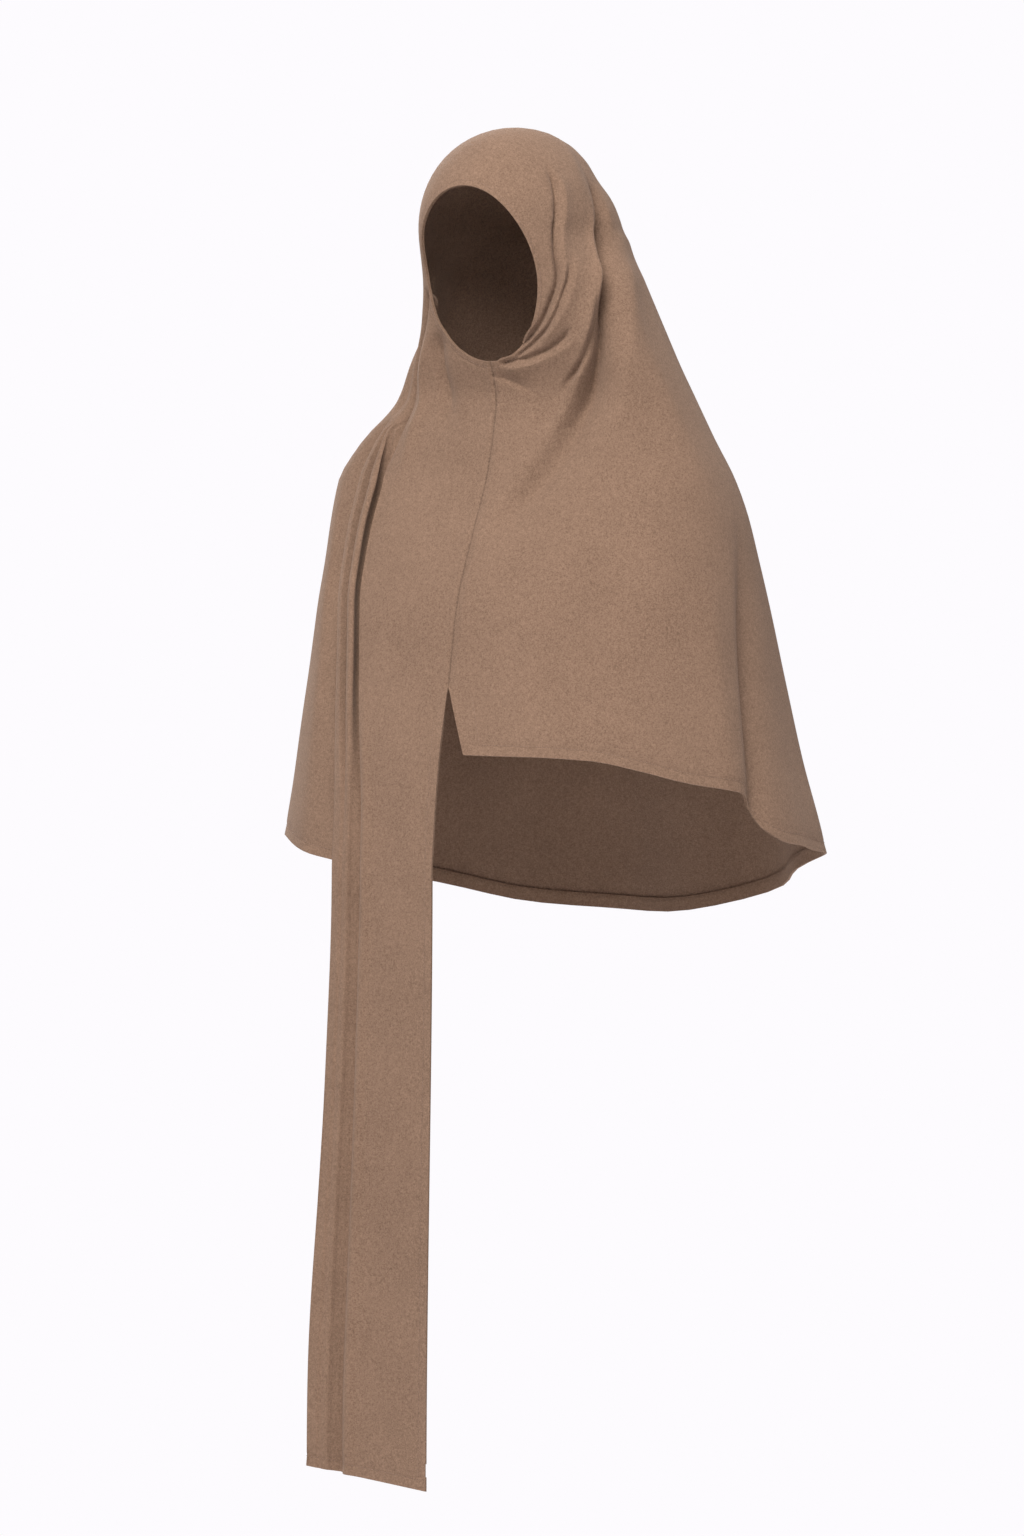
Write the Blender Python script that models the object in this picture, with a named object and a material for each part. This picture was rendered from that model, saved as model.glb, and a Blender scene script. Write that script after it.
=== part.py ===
"""Jersey hijab in the slip-on khimar cut, hanging as a head and shoulders hold it.

The origin is inside the crown, where the head's top meets the cloth. The wearer faces -Y, the wearer's
left is +X and up is +Z. One jersey wall runs from the face opening over the head, round the shoulders
and down to the hem. A seam closes the centre front as far as the slit, and the wearer's right front
runs on as the long panel. Each turned hem is a strip of its own inside that wall.
"""

import math
from collections import namedtuple

import bmesh
import bpy
import numpy as np

# Driving sizes in metres
HEAD_HEIGHT = 0.235
HEAD_WIDTH = 0.190
HEAD_DEPTH = 0.225
FACE_HEIGHT = 0.175
FACE_WIDTH = 0.137
SHOULDER_WIDTH = 0.456
BODY_DEPTH = 0.400
CAPE_DROP = 0.550
SLIT_DROP = 0.322
PANEL_DROP = 1.123
WALL = 0.0012
HEM_WALL = 0.0012
FACE_HEM_WIDTH = 0.008
HEM_WIDTH = 0.014
CLEARANCE = 0.0003
DOME_SHARE = 0.425
CROWN_SHIFT = -0.004

# A section of the veil: how far down it is, its half widths and depths from the head's axis, where its
# widest point is and how square it is. Shares are of the sizes named beside each table.
Section = namedtuple("Section", "down right left front back middle square")

# Down as a share of HEAD_HEIGHT, widths of HEAD_WIDTH, depths of HEAD_DEPTH
HEAD_SECTIONS = (
    Section(0.300, 0.500, 0.510, -0.460, 0.535, 0.022, 2.0),
    Section(0.425, 0.500, 0.510, -0.460, 0.535, 0.022, 2.0),
    Section(0.650, 0.526, 0.648, -0.356, 0.604, 0.044, 2.0),
    Section(0.820, 0.582, 0.734, -0.285, 0.671, 0.062, 2.0),
    Section(0.990, 0.696, 0.823, -0.208, 0.728, 0.080, 2.0),
)
# Down below the chin as a share of CAPE_DROP, widths of SHOULDER_WIDTH, depths of BODY_DEPTH
BODY_SECTIONS = (
    Section(0.067, 0.336, 0.380, -0.086, 0.438, 0.060, 2.05),
    Section(0.140, 0.434, 0.419, -0.103, 0.465, 0.075, 2.10),
    Section(0.213, 0.496, 0.461, -0.133, 0.490, 0.090, 2.15),
    Section(0.286, 0.510, 0.489, -0.178, 0.505, 0.100, 2.20),
    Section(0.358, 0.519, 0.508, -0.223, 0.520, 0.108, 2.20),
    Section(0.431, 0.530, 0.526, -0.263, 0.540, 0.112, 2.20),
    Section(0.577, 0.552, 0.556, -0.303, 0.580, 0.120, 2.20),
    Section(0.722, 0.578, 0.596, -0.345, 0.600, 0.125, 2.15),
    Section(0.868, 0.611, 0.643, -0.368, 0.636, 0.130, 2.10),
    Section(1.028, 0.630, 0.675, -0.383, 0.658, 0.135, 2.10),
)

# How far the hem is below the chin at each angle, as a share of CAPE_DROP. Angles are degrees from the
# centre front, and less than 0 on the wearer's right.
HemLevel = namedtuple("HemLevel", "angle down")
HEM_LEVELS = (
    HemLevel(-360, 0.713),
    HemLevel(-326, 0.724),
    HemLevel(-313, 0.744),
    HemLevel(-303, 0.762),
    HemLevel(-290, 0.778),
    HemLevel(-283, 0.789),
    HemLevel(-279, 0.842),
    HemLevel(-262, 0.878),
    HemLevel(-240, 0.898),
    HemLevel(-180, 1.000),
    HemLevel(-125, 0.940),
    HemLevel(-90, 0.878),
    HemLevel(-62, 0.858),
    HemLevel(-43, 0.884),
    HemLevel(-29, 0.913),
    HemLevel(0, 0.913),
)

# Where columns of the grid leave the face edge, in degrees round the opening from under the chin, and
# where they pass the shoulder, the waist and the hem, in degrees round from the centre front. Column 0 is
# the wearer's right edge of the slit and the last column is its left edge.
Guide = namedtuple("Guide", "column face shoulder waist hem")
GUIDES = (
    Guide(0, 0, 0, 0, 0),
    Guide(9, 32, -41, -19, -14),
    Guide(25, 84, -66, -44, -39),
    Guide(31, 124, -98, -92, -90),
    Guide(39, 180, -180, -180, -180),
    Guide(48, 234, -258, -262, -262),
    Guide(53, 264, -277, -278, -278),
    Guide(60, 306, -308, -310, -312),
    Guide(70, 360, -360, -360, -360),
)
COLUMNS = 70
NECK_ROWS = 17
CHEST_ROWS = 6
FLAP_ROWS = 6
PANEL_ROWS = 8
SHOULDER_SHARE = 0.118
# How much wider apart the rows grow away from the face, and the steps of a guide line from ring to ring
ROW_GROWTH = 1.12
RING_STEPS = 100
# The most of the head's half width that the face opening reaches
SIDE_LIMIT = 0.95
EDGE_COLUMN = 21
SLIT_ROW = NECK_ROWS + CHEST_ROWS
HEM_ROW = SLIT_ROW + FLAP_ROWS
LAST_ROW = HEM_ROW + PANEL_ROWS

# The long panel's outer edge folds under itself over the side of the cape. For a column of the grid: how
# far it is from the fold's edge towards the centre front, and how far it stands out, both in mm.
Pleat = namedtuple("Pleat", "column across out")
PLEAT = (
    Pleat(10.5, 37.0, 0.5),
    Pleat(12, 28.0, -7.5),
    Pleat(13.5, 20.5, -0.5),
    Pleat(15, 13.5, 7.0),
    Pleat(16, 9.5, 4.0),
    Pleat(17, 4.5, 6.5),
    Pleat(18, -0.5, 2.5),
    Pleat(19, 3.0, -3.5),
    Pleat(20, 11.0, -6.5),
    Pleat(21, 17.0, -11.0),
    Pleat(22, 11.0, -16.5),
    Pleat(23, -3.0, -18.0),
    Pleat(24, -20.0, -14.5),
    Pleat(26, -50.0, -3.0),
)
PLEAT_FIRST = 9
PLEAT_TURN = 18
PLEAT_LAST = 26
PLEAT_RUN_IN = 1.5
PLEAT_RUN_OUT = 2.0
PLEAT_START = 0.10
PLEAT_FULL = 0.52
# Where the fold's edge is at each level, in degrees from the centre front. Down is as for the hem.
EdgePlace = namedtuple("EdgePlace", "down angle")
PLEAT_EDGE = (
    EdgePlace(0.080, -57.0),
    EdgePlace(0.149, -49.5),
    EdgePlace(0.225, -45.0),
    EdgePlace(0.302, -43.5),
    EdgePlace(0.385, -41.0),
    EdgePlace(0.484, -36.8),
    EdgePlace(0.589, -33.7),
    EdgePlace(0.695, -30.8),
    EdgePlace(0.833, -28.1),
    EdgePlace(1.000, -26.5),
)

# A fold runs through points given as degrees round from the centre front and shares of HEAD_HEIGHT
# down from the crown. Depth and width are in mm, and a valley has a depth less than 0.
Fold = namedtuple("Fold", "name depth width path")
FOLDS = (
    Fold("temple roll", 5.0, 9, ((58, 0.20), (59, 0.42), (44, 0.66), (28, 0.85), (6, 1.02))),
    Fold("jaw slit", -6.0, 9, ((54, 0.58), (43, 0.70), (31, 0.84), (15, 0.97))),
    Fold("under jaw", -5.0, 9, ((41, 0.83), (28, 0.93), (6, 1.02))),
    Fold("cheek valley", -8.0, 11, ((68, 0.64), (52, 0.84), (34, 1.06), (20, 1.20))),
    Fold("long valley", -17.0, 14, ((97, 0.20), (89, 0.48), (62, 0.80), (39, 1.07), (9, 1.62))),
    Fold("valley ridge", 6.0, 11, ((80, 0.52), (64, 0.70), (44, 0.96), (30, 1.14))),
    Fold("crown slope", -8.0, 34, ((84, 0.16), (110, 0.20), (135, 0.21), (165, 0.24))),
    Fold("outer ridge", 6.0, 18, ((104, 0.42), (98, 0.60), (76, 0.82), (50, 1.14), (24, 1.52))),
    Fold("under chin", -4.0, 9, ((0, 1.05), (12, 1.12), (18, 1.16))),
    Fold("right neck valley", -5.0, 13, ((-52, 0.72), (-57, 1.07), (-46, 1.22), (-36, 1.34))),
    Fold("right cheek valley", -7.0, 12, ((-84, 0.50), (-78, 0.78), (-66, 1.06), (-58, 1.25))),
    Fold("right nape ridge", 6.0, 18, ((-112, 0.40), (-104, 0.80), (-96, 1.20))),
    Fold("nape valley", -8.0, 22, ((150, 0.70), (142, 1.10), (132, 1.60))),
    Fold("right nape valley", -8.0, 22, ((-150, 0.72), (-143, 1.14), (-134, 1.66))),
    Fold("chest fall", -6.0, 26, ((44, 1.55), (35, 2.05), (30, 2.68))),
    Fold("chest ridge", 4.0, 26, ((30, 1.60), (20, 2.10), (14, 2.66))),
    Fold("arm valley", -14.0, 15, ((97, 1.65), (89, 2.08), (84, 2.48), (79, 2.86), (72, 3.30))),
    Fold("arm ridge", 6.0, 22, ((74, 1.90), (73, 2.45), (71, 2.95))),
)
# Soft hanging folds round the back: centre in degrees, half width in degrees, depth at the hem in mm
Hang = namedtuple("Hang", "angle half_width depth")
HANGS = (
    Hang(-96, 8, 7.0),
    Hang(-113, 8, -13.0),
    Hang(-131, 9, 13.0),
    Hang(-150, 9, -14.0),
    Hang(-170, 9, 14.0),
    Hang(-189, 9, -14.0),
    Hang(-208, 9, 14.0),
    Hang(-227, 9, -12.0),
    Hang(-245, 8, 9.0),
)
HANG_START = 0.12
PATH_STEPS = 60
PATH_FADE = 0.22
PATH_START = 0.15
MM = 0.001


def smooth_step(share):
    """0 below 0 and 1 above 1, with a level start and end."""
    share = np.clip(share, 0.0, 1.0)
    return share * share * (3.0 - 2.0 * share)


def slopes(at, values):
    """Slopes that keep a curve through the values from overshooting them."""
    gap, rise = np.diff(at), np.diff(values) / np.diff(at)
    found = np.zeros(len(at))
    found[0], found[-1] = rise[0], rise[-1]
    for k in range(1, len(at) - 1):
        if rise[k - 1] * rise[k] > 0:
            total = gap[k - 1] + gap[k]
            found[k] = total / (gap[k] / rise[k - 1] + gap[k - 1] / rise[k])
    return found


def curve(at, values, where):
    """A smooth curve through the values, read at each place in where."""
    at, values = np.asarray(at, float), np.asarray(values, float)
    where = np.clip(np.asarray(where, float), at[0], at[-1])
    slope, gap = slopes(at, values), np.diff(at)
    k = np.clip(np.searchsorted(at, where, side="right") - 1, 0, len(at) - 2)
    s = (where - at[k]) / gap[k]
    start = values[k] * (1 + 2 * s) * (1 - s) ** 2 + gap[k] * slope[k] * s * (1 - s) ** 2
    end = values[k + 1] * s * s * (3 - 2 * s) + gap[k] * slope[k + 1] * s * s * (s - 1)
    return start + end


def section_table():
    """Every section in metres, from the widest part of the head down to the hem."""
    rows = []
    for s in HEAD_SECTIONS:
        widths = [s.right * HEAD_WIDTH, s.left * HEAD_WIDTH]
        depths = [s.front * HEAD_DEPTH, s.back * HEAD_DEPTH, s.middle * HEAD_DEPTH]
        rows.append([s.down * HEAD_HEIGHT, *widths, *depths, s.square])
    for s in BODY_SECTIONS:
        widths = [s.right * SHOULDER_WIDTH, s.left * SHOULDER_WIDTH]
        depths = [s.front * BODY_DEPTH, s.back * BODY_DEPTH, s.middle * BODY_DEPTH]
        rows.append([HEAD_HEIGHT + s.down * CAPE_DROP, *widths, *depths, s.square])
    return np.array(rows)


SECTIONS = section_table()
DOME_HEIGHT = DOME_SHARE * HEAD_HEIGHT
DOME_LENGTH = math.pi / 4 * (DOME_HEIGHT + 0.5 * HEAD_WIDTH)


def length_at(drop):
    """The way from the crown over the dome and down to a drop below the crown."""
    drop = np.asarray(drop, float)
    part = np.arccos(np.clip(1 - drop / DOME_HEIGHT, -1, 1)) / (math.pi / 2)
    return np.where(drop < DOME_HEIGHT, DOME_LENGTH * part, DOME_LENGTH + drop - DOME_HEIGHT)


def drop_at(length):
    """The drop below the crown at a way from the crown."""
    arc = np.clip(length / DOME_LENGTH, 0, 1) * math.pi / 2
    below = DOME_HEIGHT + length - DOME_LENGTH
    return np.where(length < DOME_LENGTH, DOME_HEIGHT * (1 - np.cos(arc)), below)


def surface(turn, length):
    """The cloth without its folds, at a turn from the centre front in radians and a way from the crown."""
    turn, length = np.asarray(turn, float), np.asarray(length, float)
    drop = drop_at(length)
    scale = np.sin(np.clip(length / DOME_LENGTH, 0, 1) * math.pi / 2)
    level = np.maximum(drop, SECTIONS[0, 0])
    right, left, front, back, middle, square = (
        curve(SECTIONS[:, 0], SECTIONS[:, k], level) for k in range(1, 7)
    )
    side, ahead = np.sin(turn), np.cos(turn)
    wide = np.sign(side) * np.abs(side) ** (2 / square) * np.where(side > 0, left, right) * scale
    deep = np.where(ahead > 0, middle - front, back - middle) * scale
    centre = middle * scale**2 + CROWN_SHIFT * (1 - scale**2)
    y = centre - np.sign(ahead) * np.abs(ahead) ** (2 / square) * deep
    return np.stack([wide, y, -drop], axis=-1)


def on_map(turn, length):
    """A flat map of the cloth with the crown in its middle."""
    return np.stack([length * np.sin(turn), -length * np.cos(turn)], axis=-1)


def face_edge(share):
    """The edge of the face opening on the map: 0 under the chin, 0.5 over the forehead."""
    round_it = share * 2 * math.pi
    drop = HEAD_HEIGHT - FACE_HEIGHT / 2 * (1 - np.cos(round_it))
    across = -FACE_WIDTH / 2 * np.sin(round_it)
    level = np.maximum(drop, SECTIONS[0, 0])
    arc = np.arccos(np.clip(1 - drop / DOME_HEIGHT, 0, 1))
    right, left = (curve(SECTIONS[:, 0], SECTIONS[:, k], level) for k in (1, 2))
    wide = np.where(across > 0, left, right) * np.sin(arc)
    return on_map(np.arcsin(np.clip(across / wide, -SIDE_LIMIT, SIDE_LIMIT)), length_at(drop))


def ring(angles, drops):
    """Points of the map at angles in degrees and drops below the crown."""
    return on_map(np.radians(angles), length_at(drops))


def map_columns():
    """For each column, its way over the map through the face edge, the shoulder, the waist and the hem."""
    column = np.arange(COLUMNS + 1)
    known = [g.column for g in GUIDES]
    shoulder = curve(known, [g.shoulder for g in GUIDES], column)
    waist = curve(known, [g.waist for g in GUIDES], column)
    hem = curve(known, [g.hem for g in GUIDES], column)
    down = curve([h.angle for h in HEM_LEVELS], [h.down for h in HEM_LEVELS], hem)
    face = face_edge(curve(known, [g.face for g in GUIDES], column) / 360)
    shoulder_ring = ring(shoulder, np.full(len(column), HEAD_HEIGHT + SHOULDER_SHARE * CAPE_DROP))
    waist_ring = ring(waist, np.full(len(column), HEAD_HEIGHT + SLIT_DROP))
    hem_ring = ring(hem, HEAD_HEIGHT + down * CAPE_DROP)
    return face, shoulder_ring, waist_ring, hem_ring


def spread(points, lengths):
    """Places along a line of points at the given lengths from its start."""
    steps = np.linalg.norm(np.diff(points, axis=0), axis=1)
    way = np.concatenate([[0.0], np.cumsum(steps)])
    return np.stack([np.interp(lengths, way, points[:, k]) for k in (0, 1)], axis=-1), way[-1]


def column_rows(nodes):
    """The rows of one column on the map. The first cell is a face hem wide and the last one a hem."""
    stops = np.arange(len(nodes))
    fine = np.linspace(0, stops[-1], stops[-1] * RING_STEPS + 1)
    line = np.stack([curve(stops, nodes[:, k], fine) for k in (0, 1)], axis=-1)
    neck, chest, flap = (line[k * RING_STEPS : (k + 1) * RING_STEPS + 1] for k in range(3))
    rows = [line[:1]]
    _, total = spread(neck, [0])
    share = np.linspace(0, 1, NECK_ROWS) ** ROW_GROWTH
    rows.append(spread(neck, FACE_HEM_WIDTH + (total - FACE_HEM_WIDTH) * share)[0])
    _, total = spread(chest, [0])
    rows.append(spread(chest, total * np.linspace(0, 1, CHEST_ROWS + 1)[1:])[0])
    _, total = spread(flap, [0])
    share = np.linspace(0, 1, FLAP_ROWS)[1:]
    rows.append(spread(flap, (total - HEM_WIDTH) * share)[0])
    rows.append(line[-1:])
    return np.concatenate(rows)


def edge_angle(drop):
    """Where the long panel's outer fold is at a drop, in degrees."""
    known = [HEAD_HEIGHT + place.down * CAPE_DROP for place in PLEAT_EDGE]
    return curve(known, [place.angle for place in PLEAT_EDGE], drop)


def fold_shift(points):
    """How far the named folds push each point of the cloth out, in metres."""
    shift = np.zeros(points.shape[:-1])
    flat = points.reshape(-1, 3)
    for fold in FOLDS:
        at = np.linspace(0, 1, len(fold.path))
        fine = np.linspace(0, 1, PATH_STEPS)
        turn = np.radians(curve(at, [p[0] for p in fold.path], fine))
        drop = curve(at, [p[1] for p in fold.path], fine) * HEAD_HEIGHT
        line = surface(turn, length_at(drop))
        apart = np.linalg.norm(flat[:, None, :] - line[None, :, :], axis=2)
        near = apart.argmin(axis=1)
        fade = smooth_step(np.minimum(fine, 1 - fine) / PATH_FADE + PATH_START)[near]
        away = apart.min(axis=1) / (fold.width * MM)
        shift += (fold.depth * MM * fade * np.exp(-away * away)).reshape(shift.shape)
    return shift


def hang_shift(turn, drop):
    """The soft folds that hang from the shoulders round the back."""
    grow = smooth_step((drop - HEAD_HEIGHT) / CAPE_DROP - HANG_START)
    angle = np.degrees(turn)
    shift = np.zeros_like(drop)
    for hang in HANGS:
        shift += hang.depth * MM * np.exp(-(((angle - hang.angle) / hang.half_width) ** 2))
    return shift * grow


def normals_of(points):
    """Outward directions of a grid of points, rows down and columns round."""
    down = np.gradient(points, axis=0)
    along = np.gradient(points, axis=1)
    up = SLIT_ROW + 1
    closing = points[:up, 1] - points[:up, -2]
    along[:up, 0] = closing
    along[:up, -1] = closing
    out = np.cross(along, down)
    return out / np.maximum(np.linalg.norm(out, axis=2, keepdims=True), 1e-12)


def cape_grid():
    """The grid of the cloth from the face edge to the hem, with its folds."""
    rings = map_columns()
    flat = np.stack([column_rows(np.stack([r[c] for r in rings])) for c in range(COLUMNS + 1)], axis=1)
    flat[: SLIT_ROW + 1, -1] = flat[: SLIT_ROW + 1, 0]
    length = np.linalg.norm(flat, axis=2)
    turn = np.arctan2(flat[..., 0], -flat[..., 1])
    turn = np.where(turn > 1e-9, turn - 2 * math.pi, turn)
    turn[:, -1] = -2 * math.pi
    turn[:, 0] = 0.0
    drop = drop_at(length)

    column = np.arange(COLUMNS + 1)[None, :] + 0.0 * drop
    known = [p.column for p in PLEAT]
    across = curve(known, [p.across for p in PLEAT], column) * MM
    out = curve(known, [p.out for p in PLEAT], column) * MM
    inside = smooth_step((column - PLEAT_FIRST) / PLEAT_RUN_IN)
    inside *= smooth_step((PLEAT_LAST - column) / PLEAT_RUN_OUT)
    below = (drop - HEAD_HEIGHT) / CAPE_DROP
    strength = smooth_step((below - PLEAT_START) / (PLEAT_FULL - PLEAT_START)) * inside
    roll = smooth_step((below - PLEAT_START) / (0.5 * (PLEAT_FULL - PLEAT_START))) * inside

    edge = np.radians(edge_angle(drop))
    step = math.radians(1)
    reach = np.linalg.norm(surface(edge + step, length) - surface(edge - step, length), axis=2) / 2
    folded = edge + across / reach * step
    points = surface(turn, length)
    base_normals = normals_of(points)
    points = surface(turn + (folded - turn) * strength, length)
    shift = fold_shift(points) * (1 - 0.7 * strength) + hang_shift(turn, drop)
    shift += out * np.where(column > PLEAT_TURN, strength, roll)
    points = points + base_normals * shift[..., None]
    points[: SLIT_ROW + 1, -1] = points[: SLIT_ROW + 1, 0]
    return points


PANEL_FLAT_Y = -0.400
PANEL_CORNER_RISE = 0.023
# How far the outer edge leans out to the bottom, in metres
PANEL_FLARE = 0.009
SLIT_COLUMNS = 6
SLIT_SPREAD = 0.028
SLIT_DRIFT = 0.002


def panel_grid(last):
    """The long panel below the hem row. It hangs from that row's points and turns to face the front."""
    share = np.linspace(0, 1, PANEL_ROWS + 1)[1:]
    long = PANEL_DROP - (-last[: EDGE_COLUMN + 1, 2] - HEAD_HEIGHT)
    hem = HEM_WIDTH / long.min()
    share = np.concatenate([np.linspace(0, 1 - hem, PANEL_ROWS)[1:], [1.0]])
    column = np.arange(EDGE_COLUMN + 1)
    out = curve([p.column for p in PLEAT], [p.out for p in PLEAT], column) * MM
    rows = []
    for s in share:
        row = last[: EDGE_COLUMN + 1].copy()
        settle = smooth_step(s)
        row[:, 1] = row[:, 1] * (1 - settle) + (PANEL_FLAT_Y * BODY_DEPTH - out) * settle
        outer = np.abs(row[:, 0]) / np.abs(row[:, 0]).max()
        rise = PANEL_CORNER_RISE * outer
        row[:, 0] -= PANEL_FLARE * settle * outer
        row[:, 2] -= s * (long - rise)
        rows.append(row)
    return np.stack(rows)


def open_slit(points):
    """Draws the two edges of the slit apart below its top."""
    for row in range(SLIT_ROW + 1, HEM_ROW + 1):
        share = (row - SLIT_ROW) / FLAP_ROWS
        for step in range(SLIT_COLUMNS):
            near = share * (1 - step / SLIT_COLUMNS)
            points[row, COLUMNS - step, 0] += SLIT_SPREAD * near
            points[row, step, 0] -= SLIT_DRIFT * near


def whole_grid():
    """Points and outward directions. Panel rows only hold the panel's columns."""
    cape = cape_grid()
    open_slit(cape)
    panel = panel_grid(cape[-1])
    points = np.full((LAST_ROW + 1, COLUMNS + 1, 3), np.nan)
    points[: HEM_ROW + 1] = cape
    points[HEM_ROW + 1 :, : EDGE_COLUMN + 1] = panel
    normals = np.full_like(points, np.nan)
    normals[: HEM_ROW + 1] = normals_of(cape)
    left = points[HEM_ROW - 1 :, : EDGE_COLUMN + 1]
    out = np.cross(np.gradient(left, axis=1), np.gradient(left, axis=0))
    out /= np.linalg.norm(out, axis=2, keepdims=True)
    normals[HEM_ROW + 1 :, : EDGE_COLUMN + 1] = out[2:]
    normals[HEM_ROW, :EDGE_COLUMN] = out[1, :EDGE_COLUMN]
    return points, normals


POINTS, NORMALS = whole_grid()


def place(row, column, depth):
    """A point of the grid between its rows and columns, a depth inside the cloth's outer face."""
    r, c = min(int(row), LAST_ROW - 1), min(int(column), COLUMNS - 1)
    found = np.zeros(3)
    for dr, dc in ((0, 0), (0, 1), (1, 0), (1, 1)):
        weight = abs(1 - dr - (row - r)) * abs(1 - dc - (column - c))
        if weight > 1e-9:
            found += weight * (POINTS[r + dr, c + dc] - NORMALS[r + dr, c + dc] * depth)
    return found


def halves(row, column):
    """The two triangles of a cell, split the same way at every depth so that layers stay apart."""
    square = POINTS[row : row + 2, column : column + 2]
    falling = np.linalg.norm(square[0, 0] - square[1, 1])
    rising = np.linalg.norm(square[0, 1] - square[1, 0])
    return ((0, 1, 2), (0, 2, 3)) if falling <= rising else ((0, 1, 3), (1, 2, 3))


def shell(name, rows, columns, near, far, material, closed=False, skip=None):
    """A closed solid between two depths inside the cloth's outer face, over cells of the grid."""
    mesh = bmesh.new()
    made = {}

    def vertex(i, j, depth):
        seam = name == "veil" and j == len(columns) - 1 and rows[i] <= SLIT_ROW
        key = (i, 0 if seam or (closed and j == len(columns) - 1) else j, depth)
        if key not in made:
            made[key] = mesh.verts.new(place(rows[i], columns[key[1]], depth))
        return made[key]

    edges = {}
    for i in range(len(rows) - 1):
        for j in range(len(columns) - 1):
            if skip and skip(rows[i], columns[j]):
                continue
            corners = [(i, j), (i, j + 1), (i + 1, j + 1), (i + 1, j)]
            outer = [vertex(*c, near) for c in corners]
            inner = [vertex(*c, far) for c in corners]
            for a, b, c in halves(int(rows[i]), int(columns[j])):
                mesh.faces.new([outer[a], outer[b], outer[c]])
                mesh.faces.new([inner[c], inner[b], inner[a]])
            for k in range(4):
                a, b = (outer[k], inner[k]), (outer[k - 3], inner[k - 3])
                edge = frozenset((a[0], b[0]))
                edges[edge] = None if edge in edges else (a, b)
    for pair in edges.values():
        if pair:
            (a, a_in), (b, b_in) = pair
            mesh.faces.new([b, a, a_in, b_in])
    bmesh.ops.recalc_face_normals(mesh, faces=mesh.faces)
    data = bpy.data.meshes.new(name)
    mesh.to_mesh(data)
    mesh.free()
    obj = bpy.data.objects.new(name, data)
    bpy.context.collection.objects.link(obj)
    data.materials.append(material)
    data.shade_smooth()
    data.set_sharp_from_angle(angle=math.radians(50))
    return obj


def cloth(name, colour, roughness):
    """A matte cloth finish."""
    material = bpy.data.materials.new(name)
    material.use_nodes = True
    shader = material.node_tree.nodes["Principled BSDF"]
    shader.inputs["Base Color"].default_value = (*colour, 1)
    shader.inputs["Roughness"].default_value = roughness
    shader.inputs["Metallic"].default_value = 0
    return material


for old in list(bpy.data.objects):
    bpy.data.objects.remove(old)

jersey = cloth("taupe_jersey", (0.342, 0.221, 0.158), 0.92)
hem_jersey = cloth("turned_hem", (0.300, 0.192, 0.136), 0.94)

hem_near = WALL + CLEARANCE
hem_far = hem_near + HEM_WALL
# The share of a cell that keeps one hem's end clear of the next one's side
END = 0.06


def span(first, last):
    """Whole rows or columns between two ends, with the ends as they are given."""
    inner = range(math.floor(first) + 1, math.ceil(last))
    return [first, *inner, last]


shell(
    "veil",
    list(range(LAST_ROW + 1)),
    list(range(COLUMNS + 1)),
    0.0,
    WALL,
    jersey,
    skip=lambda row, column: row >= HEM_ROW and column >= EDGE_COLUMN,
)
shell("face_hem", [0, 1], span(0, COLUMNS), hem_near, hem_far, hem_jersey, closed=True)
shell("cape_hem", [HEM_ROW - 1, HEM_ROW], span(EDGE_COLUMN, COLUMNS), hem_near, hem_far, hem_jersey)
shell("panel_hem", [LAST_ROW - 1, LAST_ROW], span(0, EDGE_COLUMN), hem_near, hem_far, hem_jersey)
slit_long = span(SLIT_ROW + 1, LAST_ROW - 1 - END)
slit_short = span(SLIT_ROW + 1, HEM_ROW - 1 - END)
outer_edge = span(HEM_ROW + END, LAST_ROW - 1 - END)
shell("slit_hem_long", slit_long, [0, 1], hem_near, hem_far, hem_jersey)
shell("slit_hem_short", slit_short, [COLUMNS - 1, COLUMNS], hem_near, hem_far, hem_jersey)
shell("edge_hem", outer_edge, [EDGE_COLUMN - 1, EDGE_COLUMN], hem_near, hem_far, hem_jersey)
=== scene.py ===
# %% [markdown]
# # A jersey hijab
# The object is a slip-on hijab in the khimar cut, worn and hanging. It is one cloth: a hood with an oval
# face opening, a seam down the centre front to a slit, a cape to the waist, and a long panel on the
# wearer's right. The wearer faces -Y, the wearer's left is +X, and the top of the head is at the origin.
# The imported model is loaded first, because every piece here stands where its solids are.

import math
from collections import namedtuple

import bmesh
import bpy
import numpy as np
from mathutils import Matrix, Vector


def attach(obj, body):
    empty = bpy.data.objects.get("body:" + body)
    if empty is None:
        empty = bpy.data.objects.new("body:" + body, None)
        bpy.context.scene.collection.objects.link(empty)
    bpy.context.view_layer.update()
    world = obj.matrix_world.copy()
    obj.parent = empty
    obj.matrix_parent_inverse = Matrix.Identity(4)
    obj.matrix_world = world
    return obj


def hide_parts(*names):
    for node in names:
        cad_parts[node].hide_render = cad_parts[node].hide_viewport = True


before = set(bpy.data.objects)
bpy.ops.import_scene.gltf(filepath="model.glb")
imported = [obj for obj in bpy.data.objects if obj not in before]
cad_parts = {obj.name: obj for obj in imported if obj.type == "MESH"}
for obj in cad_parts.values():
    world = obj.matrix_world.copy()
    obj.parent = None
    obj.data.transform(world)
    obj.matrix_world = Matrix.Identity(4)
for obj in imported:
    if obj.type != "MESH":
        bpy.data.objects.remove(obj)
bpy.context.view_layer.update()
print("solids:", sorted(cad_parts))

# %% [markdown]
# Sizes come first. They are those of the solids, read from the photograph at one millimetre a pixel.
# A wearer's head with a scarf over it is 235 mm from crown to chin, and the other sizes follow from it.

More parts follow.
